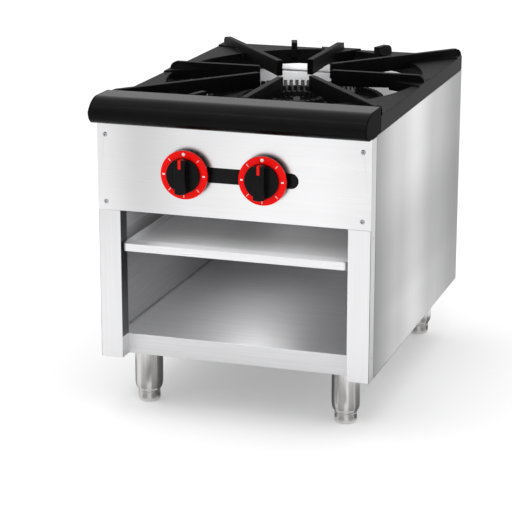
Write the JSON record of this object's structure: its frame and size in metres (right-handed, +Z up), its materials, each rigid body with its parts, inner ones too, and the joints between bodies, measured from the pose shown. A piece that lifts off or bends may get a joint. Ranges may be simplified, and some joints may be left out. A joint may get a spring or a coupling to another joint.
{
  "type": "single burner gas stove",
  "caption": "Low free-standing gas stove for stock pots: steel cabinet on legs, open storage bay, drip tray, iron top grate over a toothed burner, knobs with red dials.",
  "frame": {"origin": "on the floor, under the middle of the object's box", "axes": "+X to the right seen from the front, +Y to the back, +Z up"},
  "size_m": [0.463, 0.676, 0.539],
  "materials": {
    "cabinet_steel": "brushed stainless sheet",
    "inner_steel": "plain stainless sheet",
    "tray_steel": "stainless sheet",
    "rail_black": "satin black paint",
    "plate_black": "black paint",
    "grate_iron": "black cast iron",
    "burner_iron": "black cast iron",
    "dial_red": "glossy red plastic",
    "pointer_red": "red inlay",
    "knob_black": "black phenolic plastic",
    "brass": "turned brass",
    "pipe_black": "black steel pipe",
    "tube_aluminium": "bare aluminium",
    "shutter_steel": "pressed steel",
    "leg_steel": "brushed stainless tube",
    "foot_steel": "turned stainless foot",
    "fastener_steel": "bright steel"
  },
  "bodies": {
    "cabinet": {"back_panel": "cabinet_steel", "back_panel_screws": "fastener_steel", "bottom_shelf": "cabinet_steel", "control_panel": "cabinet_steel", "control_panel_screws": "fastener_steel", "dial_rings": "dial_red", "front_burner_rest": "inner_steel", "front_heat_shield": "inner_steel", "front_left_leg": "leg_steel", "front_leg_channel": "cabinet_steel", "front_rail": "rail_black", "front_right_leg": "leg_steel", "gas_manifold": "pipe_black", "gas_orifices": "brass", "inlet_nipple": "pipe_black", "inner_burner": "burner_iron", "left_front_post": "cabinet_steel", "left_gas_valve": "brass", "left_liner": "inner_steel", "left_side_panel": "cabinet_steel", "left_tray_runner": "inner_steel", "leg_nuts": "fastener_steel", "manifold_saddles": "pipe_black", "outer_burner": "burner_iron", "pilot_bracket": "inner_steel", "pilot_burner": "brass", "pilot_tube": "tube_aluminium", "pilot_valve": "brass", "post_rivets": "fastener_steel", "rail_bolts": "fastener_steel", "rail_end_caps": "rail_black", "rear_burner_rest": "inner_steel", "rear_left_leg": "leg_steel", "rear_leg_channel": "cabinet_steel", "rear_liner": "inner_steel", "rear_right_leg": "leg_steel", "rear_top_rail": "cabinet_steel", "right_front_post": "cabinet_steel", "right_gas_valve": "brass", "right_liner": "inner_steel", "right_side_panel": "cabinet_steel", "right_tray_runner": "inner_steel", "slot_backplate": "plate_black", "supply_elbow": "pipe_black", "supply_pipe": "pipe_black", "valve_bonnets": "brass"},
    "knob_left_body": {"left_knob": "knob_black", "left_knob_pointer": "pointer_red", "left_valve_stem": "brass"},
    "knob_right_body": {"right_knob": "knob_black", "right_knob_pointer": "pointer_red", "right_valve_stem": "brass"},
    "tray": {"drip_tray": "tray_steel"},
    "grate": {"top_grate": "grate_iron"},
    "shutter_left": {"left_air_shutter": "shutter_steel"},
    "shutter_right": {"right_air_shutter": "shutter_steel"},
    "foot_front_left": {"front_left_foot": "foot_steel"},
    "foot_front_right": {"front_right_foot": "foot_steel"},
    "foot_rear_left": {"rear_left_foot": "foot_steel"},
    "foot_rear_right": {"rear_right_foot": "foot_steel"}
  },
  "joints": [
    {"name": "knob_left", "type": "hinge", "parent": "cabinet", "child": "knob_left_body", "pos_m": [-0.076, -0.32, 0.4205], "axis": [0, -1, 0], "range_deg": [0, 90]},
    {"name": "knob_right", "type": "hinge", "parent": "cabinet", "child": "knob_right_body", "pos_m": [0.056, -0.32, 0.4205], "axis": [0, -1, 0], "range_deg": [0, 90]},
    {"name": "tray_slide", "type": "slide", "parent": "cabinet", "child": "tray", "axis": [0, -1, 0], "range_m": [0, 0.45]},
    {"name": "grate_lift", "type": "slide", "parent": "cabinet", "child": "grate", "axis": [0, 0, 1], "range_m": [0, 0.12]},
    {"name": "air_shutter_left", "type": "hinge", "parent": "cabinet", "child": "shutter_left", "pos_m": [-0.076, -0.236, 0.4205], "axis": [0, 1, 0], "range_deg": [-60, 60]},
    {"name": "air_shutter_right", "type": "hinge", "parent": "cabinet", "child": "shutter_right", "pos_m": [0.056, -0.236, 0.4205], "axis": [0, 1, 0], "range_deg": [-60, 60]},
    {"name": "foot_front_left_screw", "type": "slide", "parent": "cabinet", "child": "foot_front_left", "axis": [0, 0, -1], "range_m": [0, 0.02]},
    {"name": "foot_front_right_screw", "type": "slide", "parent": "cabinet", "child": "foot_front_right", "axis": [0, 0, -1], "range_m": [0, 0.02]},
    {"name": "foot_rear_left_screw", "type": "slide", "parent": "cabinet", "child": "foot_rear_left", "axis": [0, 0, -1], "range_m": [0, 0.02]},
    {"name": "foot_rear_right_screw", "type": "slide", "parent": "cabinet", "child": "foot_rear_right", "axis": [0, 0, -1], "range_m": [0, 0.02]}
  ]
}
